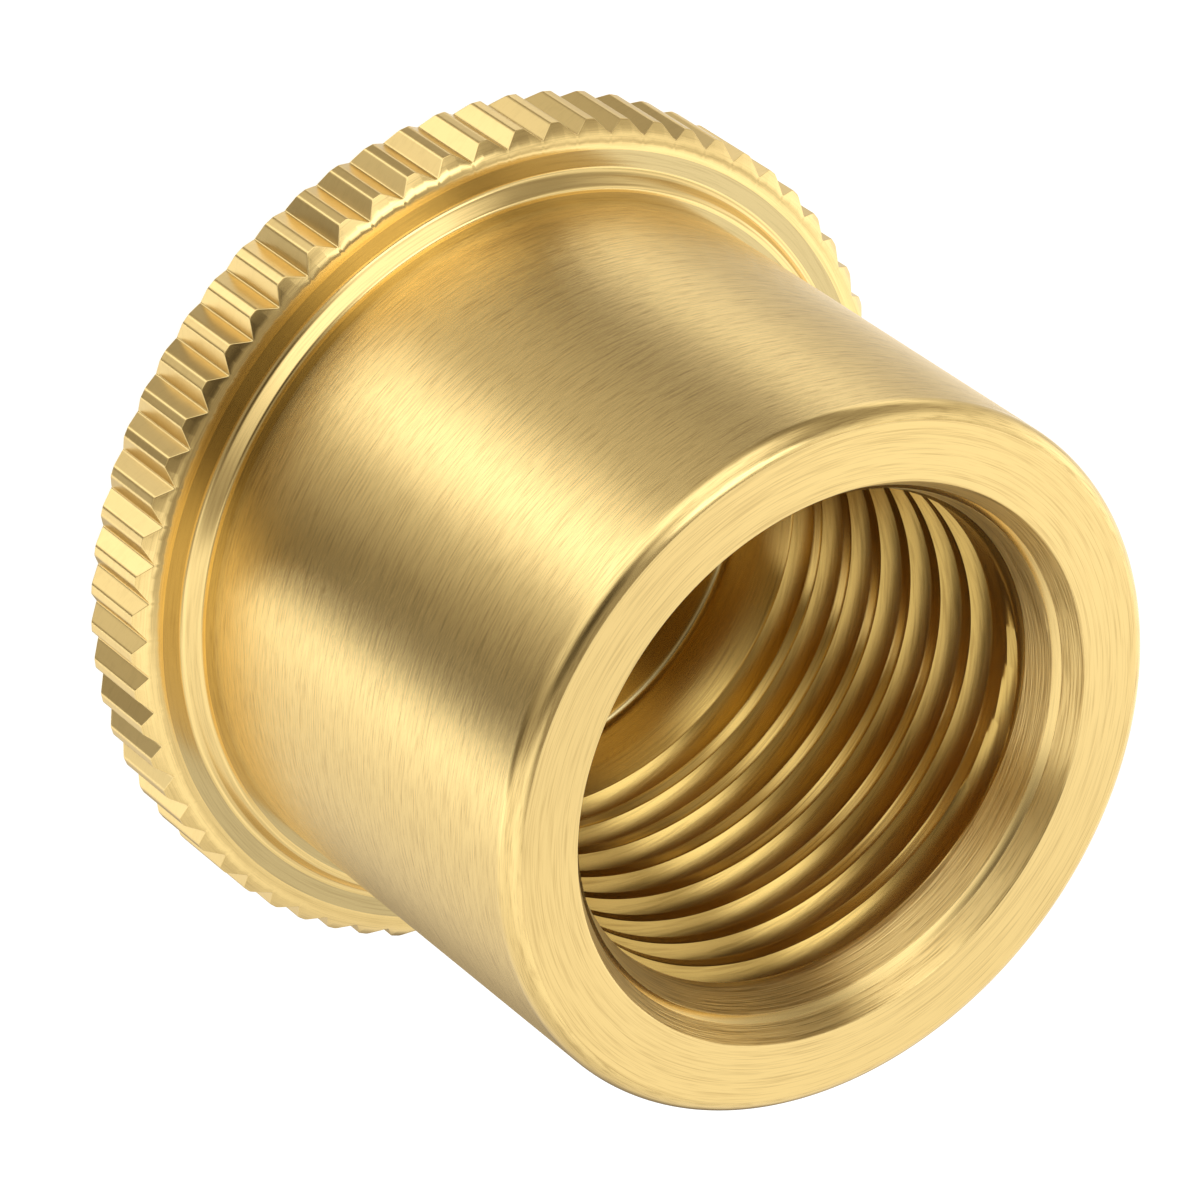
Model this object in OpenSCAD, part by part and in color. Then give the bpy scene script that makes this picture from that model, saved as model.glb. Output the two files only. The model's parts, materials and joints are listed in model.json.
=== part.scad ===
// Escutcheon nut, turned from one piece of brass bar.
// A plain barrel with an internal pipe thread stands on a round flange whose rim is
// straight-knurled for finger grip. A low tapered collar with a flat top carries the barrel
// off the flange. The bore is open at the barrel's end and ends in a floor with a stem hole.
// Millimetres. +Z is the axis, from the flange's back face (z = 0) to the barrel's end.

/* [Barrel] */

// Whole height, from the flange's back face to the barrel's end face
total_height = 23.4; // [22:0.1:30]
// Barrel diameter
barrel_d = 26.75; // [26:0.05:27.5]
// Radius of the rounded edge round the barrel's end face
end_round = 0.8; // [0.2:0.05:1.1]
// Angle that this edge turns through before it meets the end face, 90 where it runs in smoothly
end_round_angle = 72; // [45:1:90]

/* [Knurled flange] */

// Flange diameter over the knurl's lands
flange_d = 32.2; // [31.4:0.1:38]
// Flange thickness, back face to front face
flange_thickness = 3.8; // [3.2:0.1:5]
// 45 degree chamfer on both edges of the rim
rim_chamfer = 0.5; // [0.35:0.05:0.8]
// Radius that eases each chamfer into the flange's flat face
rim_round = 1; // [0.05:0.05:1.1]
// Number of straight knurl grooves round the rim
knurl_count = 67; // [48:1:76]
// Depth of a knurl groove
knurl_depth = 0.45; // [0.2:0.05:0.5]
// Included angle of the knurl's V grooves, in degrees
knurl_angle = 105; // [80:1:110]

/* [Collar at the barrel's foot] */

// Width of the collar's top, from the barrel out to its edge
collar_ledge = 0.56; // [0.3:0.02:0.9]
// Height of the collar above the flange's front face
collar_height = 0.6; // [0.4:0.05:0.9]
// Slope of the collar's flank away from the axis, in degrees
collar_draft = 30; // [0:1:45]
// Radius of the edge between the collar's flank and its top
collar_round = 0.1; // [0.05:0.05:0.2]
// Radius of the fillet between the collar's flank and the flange
foot_fillet = 0.3; // [0.1:0.05:0.35]
// Radius of the fillet between the collar's top and the barrel
root_fillet = 0.1; // [0.05:0.05:0.25]

/* [Bore] */

// Diameter of the mouth, where the lead-in chamfer meets the end face
mouth_d = 21.2; // [20.9:0.1:22]
// Diameter at the inner edge of the lead-in chamfer
lead_in_d = 20.16; // [19.9:0.02:20.4]
// Depth of the lead-in chamfer
lead_in_depth = 0.7; // [0.4:0.05:1]
// Diameter at the foot of the second, flatter step
step_d = 19.4; // [19.1:0.05:19.8]
// Depth of that step's foot below the end face
step_depth = 1.15; // [1.05:0.05:1.5]
// Depth at which the thread's crest diameter begins
thread_start = 2.25; // [1.8:0.05:3]
// Crest (minor) diameter of the internal thread
thread_minor_d = 18.9; // [18.6:0.05:19.05]
// Depth of the bore's flat floor
floor_depth = 19.6; // [16:0.1:20.5]
// Diameter of the stem hole through the floor
stem_hole_d = 13; // [8:0.1:15]
// Chamfer on both edges of the stem hole
stem_chamfer = 0.4; // [0.1:0.05:0.6]

/* [Hidden] */

brass = [0.83, 0.68, 0.38];
// How far joined sections run into each other, and cutters past the faces they open
overlap = 0.3;
barrel_r = barrel_d / 2;
rim_r = flange_d / 2;
collar_top = flange_thickness + collar_height;
// Radii of the collar's two sharp corners, before they are rounded
collar_r = barrel_r + collar_ledge;
collar_foot_r = collar_r + collar_height * tan(collar_draft);
// Radius at a knurl groove's bottom
groove_r = rim_r - knurl_depth;
// Angle between neighbouring grooves
pitch_angle = 360 / knurl_count;
// Where two neighbouring groove flanks would meet above the land between them
ridge_r = groove_r * sin(knurl_angle / 2) / sin(knurl_angle / 2 - pitch_angle / 2);

// One point of the knurl's star outline: even points are groove bottoms, odd ones ridges.
// The first groove faces -Y.
function star_point(i) =
    let (r = (i % 2 == 0) ? groove_r : ridge_r, a = i * pitch_angle / 2 - 90)
    [r * cos(a), r * sin(a)];

// Distance from a corner to where its rounding begins, for a corner that turns by an angle
function reach(radius, turn) = radius * tan(turn / 2);

// Flange disc with both edges chamfered and each chamfer eased into its face
module flange_section() {
    inner_r = rim_r - rim_chamfer;
    face_reach = reach(rim_round, 45);
    // The same distance along the chamfer, as its radial and axial part
    slope_reach = face_reach * cos(45);
    polygon([
        [0, 0],
        [inner_r - face_reach, 0],
        [inner_r + slope_reach, slope_reach],
        [rim_r, rim_chamfer],
        [rim_r, flange_thickness - rim_chamfer],
        [inner_r + slope_reach, flange_thickness - slope_reach],
        [inner_r - face_reach, flange_thickness],
        [0, flange_thickness]
    ]);
    for (z = [rim_round, flange_thickness - rim_round])
        translate([inner_r - face_reach, z]) circle(r = rim_round, $fn = 48);
}

// Flange with the knurl grooves cut straight through its rim and chamfers
module knurled_flange() {
    intersection() {
        rotate_extrude($fn = 180) flange_section();
        translate([0, 0, -overlap])
        linear_extrude(height = flange_thickness + 2 * overlap)
        polygon([for (i = [0 : 2 * knurl_count - 1]) star_point(i)]);
    }
}

// Tapered collar with a flat top and a rounded top edge
module collar_section() {
    base = flange_thickness - overlap;
    edge_reach = reach(collar_round, 90 - collar_draft);
    polygon([
        [0, base],
        [collar_foot_r, base],
        [collar_foot_r, flange_thickness],
        [collar_r + edge_reach * sin(collar_draft), collar_top - edge_reach * cos(collar_draft)],
        [collar_r - edge_reach, collar_top],
        [0, collar_top]
    ]);
    translate([collar_r - edge_reach, collar_top - collar_round])
    circle(r = collar_round, $fn = 48);
}

// Concave fillet from the flange's face up to the collar's flank
module foot_fillet_section() {
    fillet_reach = reach(foot_fillet, 90 - collar_draft);
    centre = [collar_foot_r + fillet_reach, flange_thickness + foot_fillet];
    flank_z = flange_thickness + fillet_reach * cos(collar_draft);
    difference() {
        polygon([
            [collar_foot_r - overlap, flange_thickness - overlap],
            [centre.x, flange_thickness - overlap],
            centre,
            [collar_foot_r - fillet_reach * sin(collar_draft), flank_z],
            [collar_foot_r - overlap, flank_z]
        ]);
        translate(centre) circle(r = foot_fillet, $fn = 48);
    }
}

// Concave fillet from the collar's top up to the barrel
module root_fillet_section() {
    difference() {
        translate([barrel_r - overlap, collar_top - overlap])
        square(root_fillet + overlap);
        translate([barrel_r + root_fillet, collar_top + root_fillet])
        circle(r = root_fillet, $fn = 48);
    }
}

// Barrel with a rounded edge that meets its end face at an angle
module barrel_section() {
    base = flange_thickness - overlap;
    round_r = barrel_r - end_round;
    round_z = total_height - end_round * sin(end_round_angle);
    translate([0, base])
    square([barrel_r, round_z - base]);
    translate([0, base])
    square([round_r, total_height - base]);
    intersection() {
        translate([round_r, round_z])
        circle(r = end_round, $fn = 48);
        translate([0, base])
        square([barrel_r, total_height - base]);
    }
}

// Bore: lead-in chamfer, flatter step, cone to the thread's crests, floor and stem hole
module bore_section() {
    top = total_height;
    floor_z = top - floor_depth;
    stem_r = stem_hole_d / 2;
    polygon([
        [0, -overlap],
        [stem_r + stem_chamfer, -overlap],
        [stem_r + stem_chamfer, 0],
        [stem_r, stem_chamfer],
        [stem_r, floor_z - stem_chamfer],
        [stem_r + stem_chamfer, floor_z],
        [thread_minor_d / 2, floor_z],
        [thread_minor_d / 2, top - thread_start],
        [step_d / 2, top - step_depth],
        [lead_in_d / 2, top - lead_in_depth],
        [mouth_d / 2, top],
        [mouth_d / 2, top + overlap],
        [0, top + overlap]
    ]);
}

module escutcheon_nut() {
    color(brass)
    difference() {
        union() {
            knurled_flange();
            rotate_extrude($fn = 180) {
                collar_section();
                foot_fillet_section();
                root_fillet_section();
                barrel_section();
            }
        }
        rotate_extrude($fn = 180) bore_section();
    }
}

escutcheon_nut();
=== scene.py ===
"""Escutcheon nut: turned brass with a straight-knurled flange and an internal pipe thread.

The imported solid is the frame. One detailed mesh stands for it: it repeats the solid's section and
adds the helical thread, the broken edges and the finish of each turned face. Lengths are metres,
Z is the nut's axis, and the flange's back face lies at z = 0.
"""

import json
import math

import bmesh
import bpy
from mathutils import Matrix, Vector


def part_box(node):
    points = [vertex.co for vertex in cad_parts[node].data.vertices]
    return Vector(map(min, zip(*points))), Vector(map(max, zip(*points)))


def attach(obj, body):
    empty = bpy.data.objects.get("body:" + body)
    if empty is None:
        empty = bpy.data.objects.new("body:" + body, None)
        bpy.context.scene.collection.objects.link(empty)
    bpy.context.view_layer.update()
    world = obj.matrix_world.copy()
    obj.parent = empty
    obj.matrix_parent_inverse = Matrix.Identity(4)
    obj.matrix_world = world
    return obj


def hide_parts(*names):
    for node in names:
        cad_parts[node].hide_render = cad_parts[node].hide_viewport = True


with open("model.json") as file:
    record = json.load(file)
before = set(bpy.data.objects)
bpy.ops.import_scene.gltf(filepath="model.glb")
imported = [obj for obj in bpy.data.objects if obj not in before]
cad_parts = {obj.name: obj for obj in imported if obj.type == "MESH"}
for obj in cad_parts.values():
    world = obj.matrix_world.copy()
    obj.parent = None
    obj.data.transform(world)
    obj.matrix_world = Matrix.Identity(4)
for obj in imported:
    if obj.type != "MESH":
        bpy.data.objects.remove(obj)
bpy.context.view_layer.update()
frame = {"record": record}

NODE = "escutcheon_nut"
MM = 0.001

# ---------------------------------------------------------------- sizes, from the frame

MOUNTS = {mount["name"]: mount for mount in frame["record"]["mounts"]}


def mount_radius(name):
    return MOUNTS[name]["dims"]["r_mm"] * MM


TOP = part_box(NODE)[1][2]
BARREL_R = mount_radius("barrel")
CREST_R = mount_radius("thread")
STEM_R = mount_radius("stem_hole")

# Flange and knurl
FLANGE_T = 3.8 * MM
LAND_R = 16.1 * MM
RIM_CHAMFER = 0.5 * MM
RIM_ROUND = 1.0 * MM
RIM_START_R = LAND_R - RIM_CHAMFER - RIM_ROUND / 2
FACE_END_R = LAND_R - RIM_CHAMFER - 0.6 * RIM_ROUND
KNURL_COUNT = 67
KNURL_DEPTH = 0.45 * MM
KNURL_HALF_ANGLE = math.radians(105 / 2)
KNURL_PHASE = math.radians(-90)
VALLEY_ROUND = 0.07 * MM
LAND_BREAK = 0.14 * MM
RIM_BREAK = 0.05 * MM

# Collar at the barrel's foot
COLLAR_R = BARREL_R + 0.56 * MM
COLLAR_TOP = MOUNTS["shoulder"]["pos_m"][2]
COLLAR_FOOT_R = COLLAR_R + (COLLAR_TOP - FLANGE_T) * math.tan(math.radians(30))
COLLAR_ROUND = 0.22 * MM
FOOT_FILLET = 0.3 * MM

# Barrel end: the round stops short of the flat and meets it at a broken edge
END_ROUND = 0.8 * MM
END_ROUND_ANGLE = math.radians(72)
END_ROUND_FILLET = 0.94 * END_ROUND
END_EDGE_BREAK = 0.12 * MM

# Mouth and bore, as radii and depths below the end face
MOUTH_R = 10.6 * MM
LEAD_R, LEAD_DEPTH = 10.15 * MM, 0.78 * MM
STEP_R, STEP_DEPTH = 9.93 * MM, 1.02 * MM
THREAD_START = 2.25 * MM
PLAIN_START = 17.9 * MM
FLOOR_FILLET = 0.3 * MM
STEM_CHAMFER = 0.4 * MM
EDGE_BREAK = 0.05 * MM

# Thread: G 1/2, 14 per inch, 55 degree flanks. The groove starts at the run-in angle, where its
# middle is at RUN_IN_Z. RUN_ROUND softens the crests' edges further while the groove is shallow.
PITCH = 25.4 / 14 * MM
MAJOR_R = 20.955 / 2 * MM
THREAD_DEPTH = MAJOR_R - CREST_R
FLANK_SLOPE = math.radians(55 / 2)
CREST_LAND = 0.56 * MM
GROOVE_HALF = (PITCH - CREST_LAND) / 2
CREST_ROUND = 0.08 * MM
RUN_ROUND = 0.3 * MM
RUN_IN_ANGLE = math.radians(200)
RUN_IN_Z = TOP - 2.43 * MM
RUN_IN_TURNS = 0.32
THREAD_TURNS = 8.1
RUN_OUT_TURNS = 0.25

# Mesh density. HOLD is how far a flat's held point lies from the arc beside it.
COLUMNS = 240
RIM_ROWS = 8
HOLD = 0.04 * MM
SMALL_ROUND = 0.2 * MM
SMALL_STEP, LARGE_STEP = 22, 6
SHARP_ANGLE = math.radians(32)


# ---------------------------------------------------------------- mesh tools


class Mesher:
    """Collects rings of vertices and the faces between them, with a finish for each face."""

    def __init__(self):
        self.verts = []
        self.faces = []
        self.finish = []

    def point(self, radius, angle, z):
        self.verts.append((radius * math.cos(angle), radius * math.sin(angle), z))
        return len(self.verts) - 1

    def ring(self, radius, z, angles):
        return [self.point(radius, angle, z) for angle in angles]

    def face(self, corners, finish):
        self.faces.append(corners)
        self.finish.append(finish)

    def strip(self, one, two, finish):
        count = len(one)
        for i in range(count):
            j = (i + 1) % count
            self.face((one[i], one[j], two[j], two[i]), finish)

    def bridge(self, one, angles_one, two, angles_two, finish):
        """Triangles between two rings of different counts, both given in rising angle."""
        i = j = 0
        while i < len(one) or j < len(two):
            next_one = angles_one[i + 1] if i + 1 < len(one) else angles_one[0] + math.tau
            next_two = angles_two[j + 1] if j + 1 < len(two) else angles_two[0] + math.tau
            step_one = j >= len(two) or (i < len(one) and next_one <= next_two)
            a, b = one[i % len(one)], two[j % len(two)]
            if step_one:
                i += 1
                self.face((a, one[i % len(one)], b), finish)
            else:
                j += 1
                self.face((a, two[j % len(two)], b), finish)


def arc_steps(turn, radius):
    """Broken edges get few steps, and rounds that show get many."""
    step = LARGE_STEP if radius > SMALL_ROUND else SMALL_STEP
    return max(2, math.ceil(math.degrees(turn) / step))


def rounded(corners, closed=False):
    """Replaces each corner (x, y, fillet radius) by an arc. A held point beside each arc keeps the
    flats flat in smooth shading. Returns each point as (x, y, the corner it came from)."""
    count = len(corners)
    places = [Vector(corner[:2]) for corner in corners]
    turns, reaches = [], []
    for i, (x, y, radius) in enumerate(corners):
        inner = closed or 0 < i < count - 1
        turn = 0.0
        if inner and radius:
            ahead = places[(i + 1) % count] - places[i]
            turn = math.pi - (places[i - 1] - places[i]).angle(ahead)
        turns.append(turn)
        reaches.append(radius * math.tan(turn / 2))
    points = []
    for i, (x, y, radius) in enumerate(corners):
        here = places[i]
        if not turns[i]:
            points.append((x, y, i))
            continue
        back = places[i - 1] - here
        ahead = places[(i + 1) % count] - here
        room_back = back.length - reaches[i] - reaches[i - 1]
        room_ahead = ahead.length - reaches[i] - reaches[(i + 1) % count]
        back.normalize()
        ahead.normalize()
        centre = here + (back + ahead).normalized() * (radius / math.cos(turns[i] / 2))
        first = (here + back * reaches[i] - centre).normalized()
        second = (here + ahead * reaches[i] - centre).normalized()
        hold_back = here + back * (reaches[i] + min(HOLD, 0.4 * room_back))
        hold_ahead = here + ahead * (reaches[i] + min(HOLD, 0.4 * room_ahead))
        points.append((hold_back.x, hold_back.y, i - 1))
        steps = arc_steps(turns[i], radius)
        for step in range(steps + 1):
            spoke = first.slerp(second, step / steps) * radius
            points.append((centre.x + spoke.x, centre.y + spoke.y, i))
        points.append((hold_ahead.x, hold_ahead.y, i))
    return points


def lathe(mesher, section, start_ring=None):
    """Turns an open section of (radius, z, fillet, finish) corners, where the finish runs from
    that corner to the next. Returns the first and last rings."""
    points = rounded([corner[:3] for corner in section])
    angles = column_angles()
    first = previous = start_ring
    for index, (radius, z, corner) in enumerate(points):
        if index == 0 and start_ring is not None:
            continue
        ring = mesher.ring(radius, z, angles)
        if previous is None:
            first = ring
        else:
            mesher.strip(previous, ring, section[points[index - 1][2]][3])
        previous = ring
    return first, previous


def column_angles():
    return [math.tau * i / COLUMNS for i in range(COLUMNS)]


# ---------------------------------------------------------------- knurled rim


def knurl_outline():
    """The knurl's outline as (angle, radius) in rising angle: V grooves with broken edges."""
    groove_r = LAND_R - KNURL_DEPTH
    pitch = math.tau / KNURL_COUNT
    half = KNURL_HALF_ANGLE
    land_angle = half - math.asin(groove_r * math.sin(half) / LAND_R)
    corners = []
    for groove in range(KNURL_COUNT):
        centre = KNURL_PHASE + groove * pitch
        for angle, radius, size in (
            (centre, groove_r, VALLEY_ROUND),
            (centre + land_angle, LAND_R, LAND_BREAK),
            (centre + pitch - land_angle, LAND_R, LAND_BREAK),
        ):
            corners.append((radius * math.cos(angle), radius * math.sin(angle), size))
    outline = []
    for x, y, corner in rounded(corners, closed=True):
        outline.append((math.atan2(y, x) % math.tau, math.hypot(x, y)))
    return sorted(outline)


def rim_height(radius):
    """Height of the front edge's round and chamfer at a radius, above the flange's middle."""
    tangent_r = LAND_R - RIM_CHAMFER - RIM_ROUND * math.tan(math.radians(45 / 2))
    across = max(radius - tangent_r, 0)
    if across < RIM_ROUND * math.sin(math.radians(45)):
        drop = RIM_ROUND - math.sqrt(RIM_ROUND**2 - across**2)
    else:
        drop = radius - (LAND_R - RIM_CHAMFER)
    return FLANGE_T / 2 - drop


def rim_section(radius):
    """Half section of the rim under an outline radius: flat, round and chamfer, edge and wall."""
    rows = [RIM_START_R + (radius - RIM_START_R) * row / RIM_ROWS for row in range(RIM_ROWS)]
    corners = [(r, rim_height(r), 0) for r in rows]
    corners += [(radius, rim_height(radius), RIM_BREAK), (radius, 0, 0)]
    return rounded(corners)


def knurled_rim(mesher):
    """Returns the rim's ring on the back face, its ring on the front face, and their angles."""
    outline = knurl_outline()
    middle = FLANGE_T / 2
    columns = []
    for angle, radius in outline:
        half = rim_section(radius)
        back = [mesher.point(r, angle, middle - z) for r, z, corner in half]
        front = [mesher.point(r, angle, middle + z) for r, z, corner in reversed(half[:-1])]
        columns.append(back + front)
    rows = list(zip(*columns))
    rim_rows = sum(corner < RIM_ROWS for r, z, corner in rim_section(LAND_R))
    for row in range(len(rows) - 1):
        on_rim = min(row, len(rows) - 2 - row) < rim_rows
        mesher.strip(rows[row], rows[row + 1], "rim" if on_rim else "knurl")
    return list(rows[0]), list(rows[-1]), [angle for angle, radius in outline]


# ---------------------------------------------------------------- thread


def groove_depth(offset):
    """Depth of the thread groove below the crests, at an axial offset from its middle."""
    sharp_depth = GROOVE_HALF / math.tan(FLANK_SLOPE)
    root_r = (sharp_depth - THREAD_DEPTH) / (1 / math.sin(FLANK_SLOPE) - 1)
    if abs(offset) < root_r * math.cos(FLANK_SLOPE):
        return THREAD_DEPTH - root_r + math.sqrt(root_r**2 - offset**2)
    return sharp_depth - abs(offset) / math.tan(FLANK_SLOPE)


def thread_offsets():
    """Axial offsets of one pitch's rows, close together at the root and at the crest's edges."""
    side = [0.08 * MM, 0.16 * MM, 0.3 * MM]
    side += [GROOVE_HALF + x * MM for x in (-0.2, -0.08, 0, 0.06, 0.15)]
    return [-x for x in reversed(side)] + [0] + side + [PITCH / 2]


def soft_max(a, b, blend):
    """The larger of two radii, rounded over where they meet."""
    gap = a - b
    if abs(gap) >= blend:
        return max(a, b)
    return max(a, b) + (blend - abs(gap)) ** 2 / (4 * blend)


def smooth_step(x):
    x = min(max(x, 0), 1)
    return x * x * (3 - 2 * x)


def bore_radius(z):
    """Radius of the bore without its thread: the cone below the step, then the crests."""
    depth = TOP - z
    share = (depth - STEP_DEPTH) / (THREAD_START - STEP_DEPTH)
    return STEP_R + (CREST_R - STEP_R) * min(max(share, 0), 1)


def thread_row(angle, row, offsets):
    """Radius and height of a row at an angle. Rows are counted down the bore from the run-in."""
    turn, index = divmod(row, len(offsets))
    turns_in = turn - (angle - RUN_IN_ANGLE) / math.tau
    z = RUN_IN_Z - PITCH * turns_in - offsets[index]
    run_in = smooth_step(turns_in / RUN_IN_TURNS)
    run_out = smooth_step((THREAD_TURNS - turns_in) / RUN_OUT_TURNS)
    shallow = 1 - run_in * run_out
    groove = CREST_R + groove_depth(offsets[index]) - shallow * (THREAD_DEPTH + 2 * RUN_ROUND)
    return soft_max(bore_radius(z), groove, CREST_ROUND + shallow * RUN_ROUND), z


def threaded_bore(mesher, top_ring, z_top, z_bottom):
    """The wall from the step down past the thread's run-out. Rows follow the helix, and one face
    in each column closes the gap to either level ring. Returns the bottom ring."""
    angles = column_angles()
    bottom_ring = mesher.ring(CREST_R, z_bottom, angles)
    offsets = thread_offsets()
    rows_per_turn = len(offsets)
    gap = 0.03 * MM
    first_turn = math.floor((RUN_IN_Z - z_top) / PITCH) - 1
    last_turn = math.ceil((RUN_IN_Z - z_bottom) / PITCH) + 2

    columns = []
    for angle in angles:
        column = {}
        for row in range(first_turn * rows_per_turn, last_turn * rows_per_turn):
            radius, z = thread_row(angle, row, offsets)
            if z_bottom + gap < z < z_top - gap:
                column[row] = mesher.point(radius, angle, z)
        columns.append(column)

    for i in range(COLUMNS):
        j = (i + 1) % COLUMNS
        here = columns[i]
        seam_shift = rows_per_turn if j == 0 else 0
        there = {row + seam_shift: vertex for row, vertex in columns[j].items()}
        shared = sorted(set(here) & set(there))
        first_row = 0 if angles[i] < RUN_IN_ANGLE else rows_per_turn
        for row, lower in zip(shared, shared[1:]):
            finish = "thread" if row > first_row else "lead"
            mesher.face((here[row], there[row], there[lower], here[lower]), finish)
        above_here = [here[row] for row in sorted(here) if row <= shared[0]]
        above_there = [there[row] for row in sorted(there) if row <= shared[0]]
        mesher.face([top_ring[i], *above_here, *above_there[::-1], top_ring[j]], "lead")
        below_here = [here[row] for row in sorted(here) if row >= shared[-1]]
        below_there = [there[row] for row in sorted(there) if row >= shared[-1]]
        mesher.face([bottom_ring[j], *below_there[::-1], *below_here, bottom_ring[i]], "bore")
    return bottom_ring


# ---------------------------------------------------------------- the nut


def outer_section():
    """Corners from the flange's face over the collar, barrel and end face into the mouth."""
    round_z = TOP - END_ROUND * math.sin(END_ROUND_ANGLE)
    round_end_r = BARREL_R - END_ROUND * (1 - math.cos(END_ROUND_ANGLE))
    return [
        (FACE_END_R, FLANGE_T, 0, "face"),
        (COLLAR_FOOT_R, FLANGE_T, FOOT_FILLET, "collar"),
        (COLLAR_R, COLLAR_TOP, COLLAR_ROUND, "collar"),
        (COLLAR_R - COLLAR_ROUND, COLLAR_TOP, 0, "face"),
        (BARREL_R, COLLAR_TOP, 0, "barrel"),
        (BARREL_R, round_z + END_ROUND * math.tan(END_ROUND_ANGLE / 2), END_ROUND_FILLET, "edge"),
        (round_end_r, TOP, END_EDGE_BREAK, "end"),
        (MOUTH_R, TOP, EDGE_BREAK, "lead"),
        (LEAD_R, TOP - LEAD_DEPTH, EDGE_BREAK, "step"),
        (STEP_R, TOP - STEP_DEPTH, 0, "step"),
    ]


def inner_section():
    """Corners from the foot of the thread over the floor and stem hole to the back face."""
    floor_z = FLANGE_T
    return [
        (CREST_R, TOP - PLAIN_START, 0, "bore"),
        (CREST_R, floor_z, FLOOR_FILLET, "floor"),
        (STEM_R + STEM_CHAMFER, floor_z, EDGE_BREAK, "bore"),
        (STEM_R, floor_z - STEM_CHAMFER, EDGE_BREAK, "bore"),
        (STEM_R, STEM_CHAMFER, EDGE_BREAK, "bore"),
        (STEM_R + STEM_CHAMFER, 0, EDGE_BREAK, "back"),
        (FACE_END_R, 0, 0, "back"),
    ]


def build_nut():
    mesher = Mesher()
    angles = column_angles()
    back_ring, front_ring, rim_angles = knurled_rim(mesher)
    face_ring, step_ring = lathe(mesher, outer_section())
    mesher.bridge(face_ring, angles, front_ring, rim_angles, "face")
    bore_ring = threaded_bore(mesher, step_ring, TOP - STEP_DEPTH, TOP - PLAIN_START)
    inner_ring = lathe(mesher, inner_section(), start_ring=bore_ring)[1]
    mesher.bridge(inner_ring, angles, back_ring, rim_angles, "back")
    return mesher


def make_object(mesher, name, materials):
    names = list(materials)
    data = bpy.data.meshes.new(name)
    data.from_pydata(mesher.verts, [], mesher.faces)
    for finish in names:
        data.materials.append(materials[finish])
    data.polygons.foreach_set("material_index", [names.index(f) for f in mesher.finish])
    data.update()
    piece = bpy.data.objects.new(name, data)
    bpy.context.scene.collection.objects.link(piece)
    work = bmesh.new()
    work.from_mesh(data)
    bmesh.ops.recalc_face_normals(work, faces=work.faces)
    work.to_mesh(data)
    work.free()
    data.shade_smooth()
    data.set_sharp_from_angle(angle=SHARP_ANGLE)
    return piece


# ---------------------------------------------------------------- materials

# Colours. The thread's and the face's brasses are darker and duller than BRASS, for faces that mirror
# each other again and again. Their darkness is painted shade: in the bore, thread and floor, and on the
# flange's face, which mirrors the barrel.
# LINE_SHADE darkens the colour in the lines, between two shares of the lines' full height.
BRASS = (0.96, 0.705, 0.285)
SHADED_THREAD_BRASS = (0.68, 0.46, 0.135)
SHADED_FACE_BRASS = (0.64, 0.49, 0.22)
LINE_SHADE = (0.5, 0.44, 0.36)
LINE_LOW, LINE_HIGH = 0.34, 0.52


class Nodes:
    """Short calls for a node tree: each adds a node, fills its inputs and returns its output."""

    def __init__(self, tree):
        self.tree = tree

    def add(self, kind, output=0, inputs=None, **settings):
        node = self.tree.nodes.new(kind)
        for key, value in settings.items():
            setattr(node, key, value)
        for key, value in (inputs or {}).items():
            if isinstance(value, bpy.types.NodeSocket):
                self.tree.links.new(value, node.inputs[key])
            else:
                node.inputs[key].default_value = value
        return node.outputs[output]

    def math(self, operation, a, b=0.0):
        return self.add("ShaderNodeMath", operation=operation, inputs={0: a, 1: b})

    def mix(self, share, a, b):
        return self.add("ShaderNodeMix", output=2, data_type="RGBA", inputs={0: share, 6: a, 7: b})

    def scaled(self, vector, scale):
        return self.add("ShaderNodeVectorMath", operation="MULTIPLY", inputs={0: vector, 1: scale})

    def noise(self, vector):
        return self.add("ShaderNodeTexNoise", inputs={"Vector": vector, "Scale": 1.0})

    def range(self, value, low, high, to_low=0.0, to_high=1.0, smooth=False):
        return self.add(
            "ShaderNodeMapRange",
            interpolation_type="SMOOTHSTEP" if smooth else "LINEAR",
            inputs={0: value, 1: low, 2: high, 3: to_low, 4: to_high},
        )


def turned_coordinates(nodes):
    """Object position in millimetres, and its distance from the axis."""
    position = nodes.scaled(nodes.add("ShaderNodeTexCoord", output=3), (1 / MM,) * 3)
    level = nodes.scaled(position, (1, 1, 0))
    radius = nodes.add("ShaderNodeVectorMath", output=1, operation="LENGTH", inputs={0: level})
    return position, radius


def ring_lines(nodes, across, along, face):
    """Noise drawn out into lines round the axis. across and along are the lines' width and length
    in millimetres. On a face the lines are rings, and on a wall they lie side by side along Z."""
    position, radius = turned_coordinates(nodes)
    if not face:
        return nodes.noise(nodes.scaled(position, (1 / along, 1 / along, 1 / across)))
    level = nodes.scaled(position, (1 / along, 1 / along, 0))
    rings = nodes.add("ShaderNodeCombineXYZ", inputs={2: nodes.math("MULTIPLY", radius, 1 / across)})
    vector = nodes.add("ShaderNodeVectorMath", operation="ADD", inputs={0: level, 1: rings})
    return nodes.noise(vector)


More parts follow.
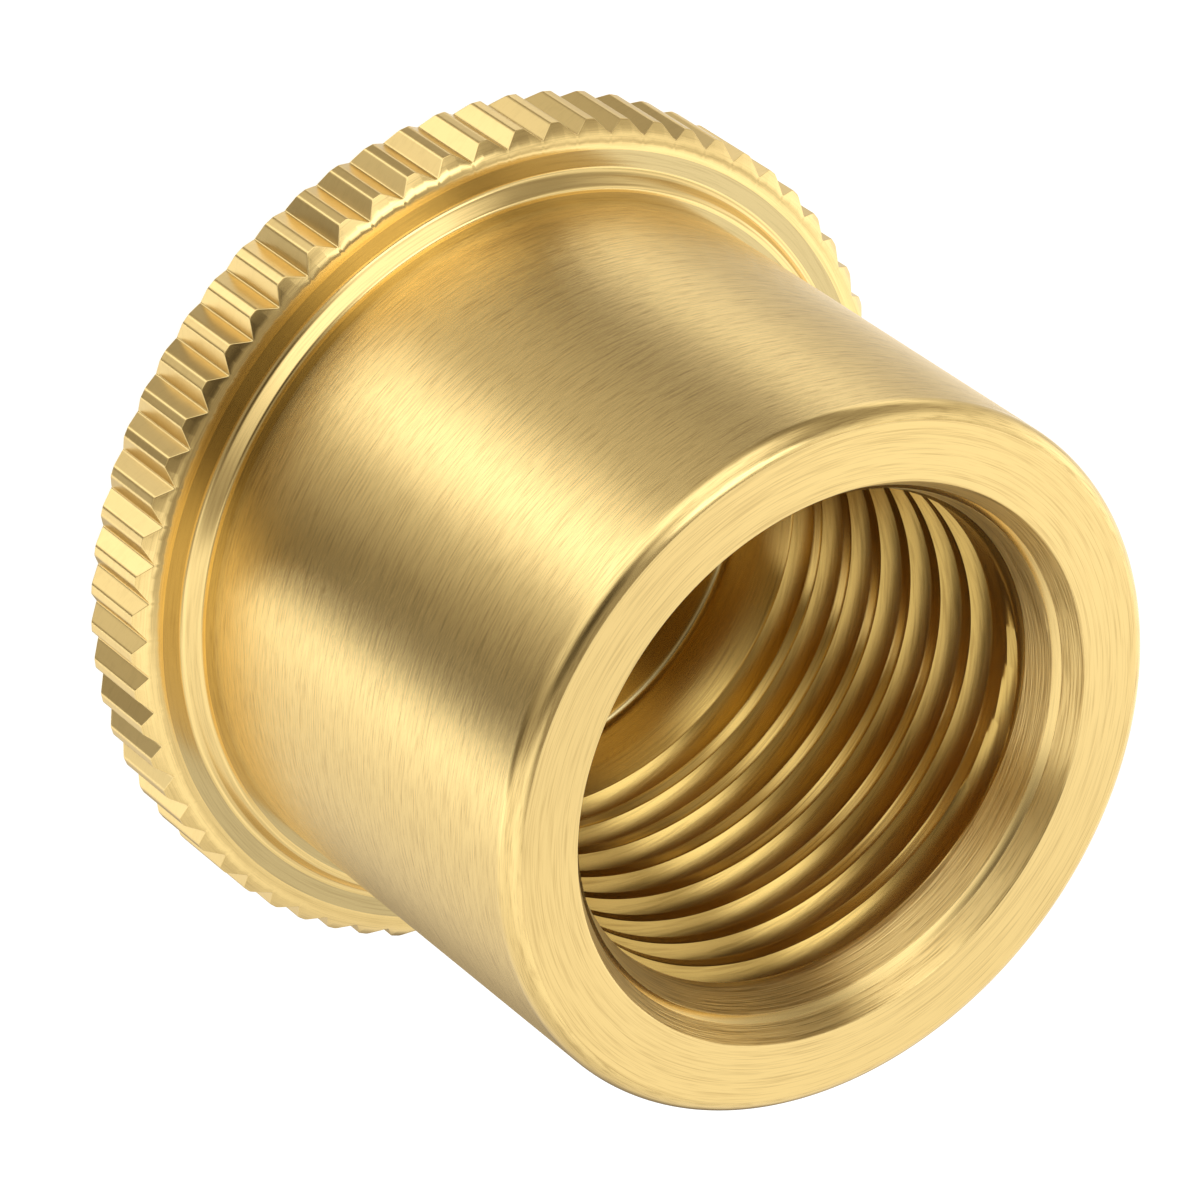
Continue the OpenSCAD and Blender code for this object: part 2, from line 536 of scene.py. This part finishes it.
def brass_material(name, colour, roughness, lines, anisotropy=0.0, face=False, tint=0.3, bump=0.0):
    """Turned brass with fine lines. tint is the lines' contrast in colour, and bump their height
    in micrometres."""
    material = bpy.data.materials.new(name)
    material.use_nodes = True
    tree = material.node_tree
    shader = tree.nodes["Principled BSDF"]
    shader.inputs["Metallic"].default_value = 1
    shader.inputs["Roughness"].default_value = roughness
    shader.inputs["Anisotropic"].default_value = anisotropy
    nodes = Nodes(tree)
    if anisotropy:
        # A quarter turn lays the blur across the turned lines
        shader.inputs["Anisotropic Rotation"].default_value = 0.25
        tangent = nodes.add("ShaderNodeTangent", direction_type="RADIAL", axis="Z")
        tree.links.new(tangent, shader.inputs["Tangent"])
    height = 0.0
    for across, along, share in lines:
        wave = nodes.math("MULTIPLY", ring_lines(nodes, across, along, face), share)
        height = nodes.math("ADD", wave, height)
    total = sum(share for across, along, share in lines)
    mixed = nodes.mix(
        nodes.range(height, LINE_LOW * total, LINE_HIGH * total, 1 - tint, 1),
        (*(c * shade for c, shade in zip(colour, LINE_SHADE)), 1),
        (*colour, 1),
    )
    tree.links.new(mixed, shader.inputs["Base Color"])
    if bump:
        bumped = nodes.add(
            "ShaderNodeBump", inputs={"Strength": 1.0, "Distance": bump * MM / 1000, "Height": height}
        )
        tree.links.new(bumped, shader.inputs["Normal"])
    return material


# Lines as (across, along, share), in millimetres: finest on the barrel and widest in the mouth
WALL_LINES = ((0.028, 0.9, 0.7), (0.07, 2.5, 0.3))
CUT_LINES = ((0.05, 2.0, 0.6), (0.14, 5.0, 0.4))
FACE_LINES = ((0.04, 2.0, 0.6), (0.11, 6.0, 0.4))
MOTTLE = ((0.1, 0.5, 0.5), (0.5, 0.5, 0.5))

# The finish of each turned face, as brass_material takes it
FINISHES = {
    "barrel": dict(colour=BRASS, roughness=0.26, lines=WALL_LINES, anisotropy=0.89, tint=0.6, bump=8),
    "edge": dict(colour=BRASS, roughness=0.2, lines=WALL_LINES, anisotropy=0.5, tint=0.5, bump=3),
    "end": dict(
        colour=BRASS, roughness=0.34, lines=FACE_LINES, anisotropy=0.5, face=True, tint=0.45, bump=4
    ),
    "lead": dict(colour=BRASS, roughness=0.3, lines=CUT_LINES, anisotropy=0.92, tint=0.75, bump=26),
    "step": dict(colour=BRASS, roughness=0.25, lines=CUT_LINES, bump=2),
    # The thread and the bore take the darker thread brass: painted shade in the hollow.
    "thread": dict(
        colour=SHADED_THREAD_BRASS, roughness=0.26, lines=CUT_LINES, anisotropy=0.75, tint=0.5, bump=2
    ),
    "bore": dict(colour=SHADED_THREAD_BRASS, roughness=0.22, lines=CUT_LINES, anisotropy=0.7, bump=3),
    # The bore's floor and the flange's face take the darker face brass: painted shade.
    "floor": dict(colour=SHADED_FACE_BRASS, roughness=0.25, lines=FACE_LINES, face=True, bump=2),
    "back": dict(colour=BRASS, roughness=0.3, lines=FACE_LINES, anisotropy=0.5, face=True, bump=4),
    "face": dict(colour=SHADED_FACE_BRASS, roughness=0.16, lines=FACE_LINES, face=True, bump=1),
    "collar": dict(colour=BRASS, roughness=0.18, lines=FACE_LINES, face=True, bump=1),
    "rim": dict(colour=BRASS, roughness=0.18, lines=FACE_LINES, face=True, bump=1),
    "knurl": dict(colour=BRASS, roughness=0.3, lines=MOTTLE, tint=0.1, bump=1),
}

finishes = {name: brass_material("brass_" + name, **values) for name, values in FINISHES.items()}
nut = make_object(build_nut(), "turned_nut", finishes)
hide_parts(NODE)
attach(nut, "root")


# ---------------------------------------------------------------- camera, floor and light


def place_camera():
    """The nut is looked into from above its open end, with the camera rolled."""
    azimuth = math.radians(-89.602)
    elevation = math.radians(46.86)
    roll = math.radians(125.92)
    distance = 247.37 * MM
    aim = Vector((0.122, -1.385, 10.401)) * MM
    back = Vector(
        (
            math.cos(elevation) * math.cos(azimuth),
            math.cos(elevation) * math.sin(azimuth),
            math.sin(elevation),
        )
    )
    level_right = Vector((0, 0, 1)).cross(back).normalized()
    level_up = back.cross(level_right)
    right = level_right * math.cos(roll) + level_up * math.sin(roll)
    up = back.cross(right)
    data = bpy.data.cameras.new("camera")
    data.lens = 210
    data.sensor_width = 36
    data.clip_start = 0.01
    camera = bpy.data.objects.new("camera", data)
    rotation = Matrix((right, up, back)).transposed()
    camera.matrix_world = Matrix.Translation(aim + back * distance) @ rotation.to_4x4()
    bpy.context.scene.collection.objects.link(camera)
    bpy.context.scene.camera = camera


def make_floor():
    """A white floor that shows the nut's shadow. The metal looks past it at the studio."""
    half = 1.5
    grey = 0.4
    glow_level = 0.88
    data = bpy.data.meshes.new("floor")
    corners = [(-half, -half, 0), (half, -half, 0), (half, half, 0), (-half, half, 0)]
    data.from_pydata(corners, [], [(0, 1, 2, 3)])
    floor = bpy.data.objects.new("floor", data)
    material = bpy.data.materials.new("floor")
    material.use_nodes = True
    tree = material.node_tree
    tree.nodes.clear()
    nodes = Nodes(tree)
    diffuse = nodes.add("ShaderNodeBsdfDiffuse", inputs={"Color": (grey, grey, grey, 1)})
    seen = nodes.math("MULTIPLY", nodes.add("ShaderNodeLightPath"), glow_level)
    glow = nodes.add("ShaderNodeEmission", inputs={"Color": (1, 1, 1, 1), "Strength": seen})
    both = nodes.add("ShaderNodeAddShader", inputs={0: diffuse, 1: glow})
    output = tree.nodes.new("ShaderNodeOutputMaterial")
    tree.links.new(both, output.inputs["Surface"])
    data.materials.append(material)
    floor.visible_glossy = False
    bpy.context.scene.collection.objects.link(floor)


# The studio as the metal sees it: the levels round the horizon at three heights, and the level
# overhead. Each pair is an azimuth in degrees and a level, and 1 is white.
LOW_RING = [
    (0, 0.95), (20, 0.9), (35, 0.78), (52, 0.4), (72, 0.12), (88, 1.0), (104, 1.4), (130, 0.7),
    (160, 0.62), (168, 1.2), (182, 1.1), (190, 0.28), (200, 0.2), (222, 0.44), (238, 0.55),
    (250, 1.3), (260, 1.7), (270, 1.35), (281, 0.7), (298, 0.32), (314, 0.12), (324, 0.16),
    (330, 1.7), (345, 1.2), (360, 0.95),
]
MIDDLE_RING = [
    (0, 0.95), (10, 0.88), (23, 0.75), (36, 0.68), (60, 0.85), (90, 1.0), (112, 1.2), (135, 1.45),
    (145, 1.1), (157, 0.67), (170, 0.48), (186, 0.32), (200, 0.36), (208, 0.8), (218, 1.4),
    (252, 1.47), (270, 1.38), (280, 0.95), (288, 0.75), (298, 0.4), (306, 0.34), (314, 0.5),
    (320, 1.15), (338, 1.02), (360, 0.95),
]
HIGH_RING = [
    (0, 1.2), (20, 1.0), (36, 1.1), (46, 1.1), (65, 0.8), (84, 0.8), (97, 1.4), (112, 1.35), (130, 0.6),
    (142, 0.9), (154, 1.05), (166, 0.8), (178, 0.5), (190, 0.28), (202, 0.45), (214, 1.0),
    (230, 1.25), (240, 1.0), (250, 0.45), (258, 0.15), (268, 0.05), (295, 0.08), (303, 0.2),
    (312, 0.3), (322, 0.8), (331, 1.15), (347, 1.25), (360, 1.2),
]
OVERHEAD = 0.3

# Elevations, in degrees, over which each level gives way to the next one up
LOW_TO_MIDDLE = (-24, 0)
MIDDLE_TO_HIGH = (15, 42)
HIGH_TO_OVERHEAD = (58, 74)

# One round soft box, which fades between two angles from its middle. It lights the thread.
SOFT_BOX_AZIMUTH = 200
SOFT_BOX_ELEVATION = 63
SOFT_BOX_CORE, SOFT_BOX_EDGE = 8, 16
SOFT_BOX_LEVEL = 2.3

# Powers of the red, green and blue levels, which warm what is dark
WARMTH = (0.93, 1.0, 1.12)


def ring_level(nodes, share, ring):
    """A level that runs round the horizon through the ring's stops. share is 0 to 1 round it."""
    ramp = nodes.add("ShaderNodeValToRGB", inputs={0: share})
    band = ramp.node.color_ramp
    while len(band.elements) > 1:
        band.elements.remove(band.elements[0])
    band.elements[0].position = 0
    for index, (azimuth, level) in enumerate(ring):
        stop = band.elements[0] if index == 0 else band.elements.new(azimuth / 360)
        stop.color = (level, level, level, 1)
    return ramp


def sine(degrees):
    return math.sin(math.radians(degrees))


def light_world():
    """The studio that lights the nut. The camera sees white in its place."""
    world = bpy.data.worlds.new("studio")
    world.use_nodes = True
    tree = world.node_tree
    tree.nodes.clear()
    nodes = Nodes(tree)
    direction = nodes.add("ShaderNodeTexCoord", output=0)
    split = nodes.add("ShaderNodeSeparateXYZ", inputs={0: direction}).node
    turn = nodes.math("ARCTAN2", split.outputs[1], split.outputs[0])
    share = nodes.math("FRACT", nodes.math("DIVIDE", turn, math.tau))
    studio = ring_level(nodes, share, LOW_RING)
    overhead = (OVERHEAD, OVERHEAD, OVERHEAD, 1)
    for next_level, (start, end) in (
        (ring_level(nodes, share, MIDDLE_RING), LOW_TO_MIDDLE),
        (ring_level(nodes, share, HIGH_RING), MIDDLE_TO_HIGH),
        (overhead, HIGH_TO_OVERHEAD),
    ):
        blend = nodes.range(split.outputs[2], sine(start), sine(end), smooth=True)
        studio = nodes.mix(blend, studio, next_level)

    across = sine(90 - SOFT_BOX_ELEVATION)
    box_middle = (
        across * sine(90 - SOFT_BOX_AZIMUTH),
        across * sine(SOFT_BOX_AZIMUTH),
        sine(SOFT_BOX_ELEVATION),
    )
    towards = nodes.add(
        "ShaderNodeVectorMath",
        output=1,
        operation="DOT_PRODUCT",
        inputs={0: direction, 1: box_middle},
    )
    box = nodes.range(towards, sine(90 - SOFT_BOX_EDGE), sine(90 - SOFT_BOX_CORE), smooth=True)
    studio = nodes.mix(box, studio, (SOFT_BOX_LEVEL, SOFT_BOX_LEVEL, SOFT_BOX_LEVEL, 1))

    plain = nodes.add("ShaderNodeSeparateColor", inputs={0: studio}).node
    powers = [nodes.math("POWER", plain.outputs[i], power) for i, power in enumerate(WARMTH)]
    warm = nodes.add("ShaderNodeCombineColor", inputs=dict(enumerate(powers)))
    shown = nodes.mix(nodes.add("ShaderNodeLightPath"), warm, (1, 1, 1, 1))
    background = nodes.add("ShaderNodeBackground", inputs={"Color": shown, "Strength": 1.0})
    output = tree.nodes.new("ShaderNodeOutputWorld")
    tree.links.new(background, output.inputs["Surface"])
    bpy.context.scene.world = world


place_camera()
make_floor()
light_world()
bpy.context.scene.view_settings.view_transform = "Standard"
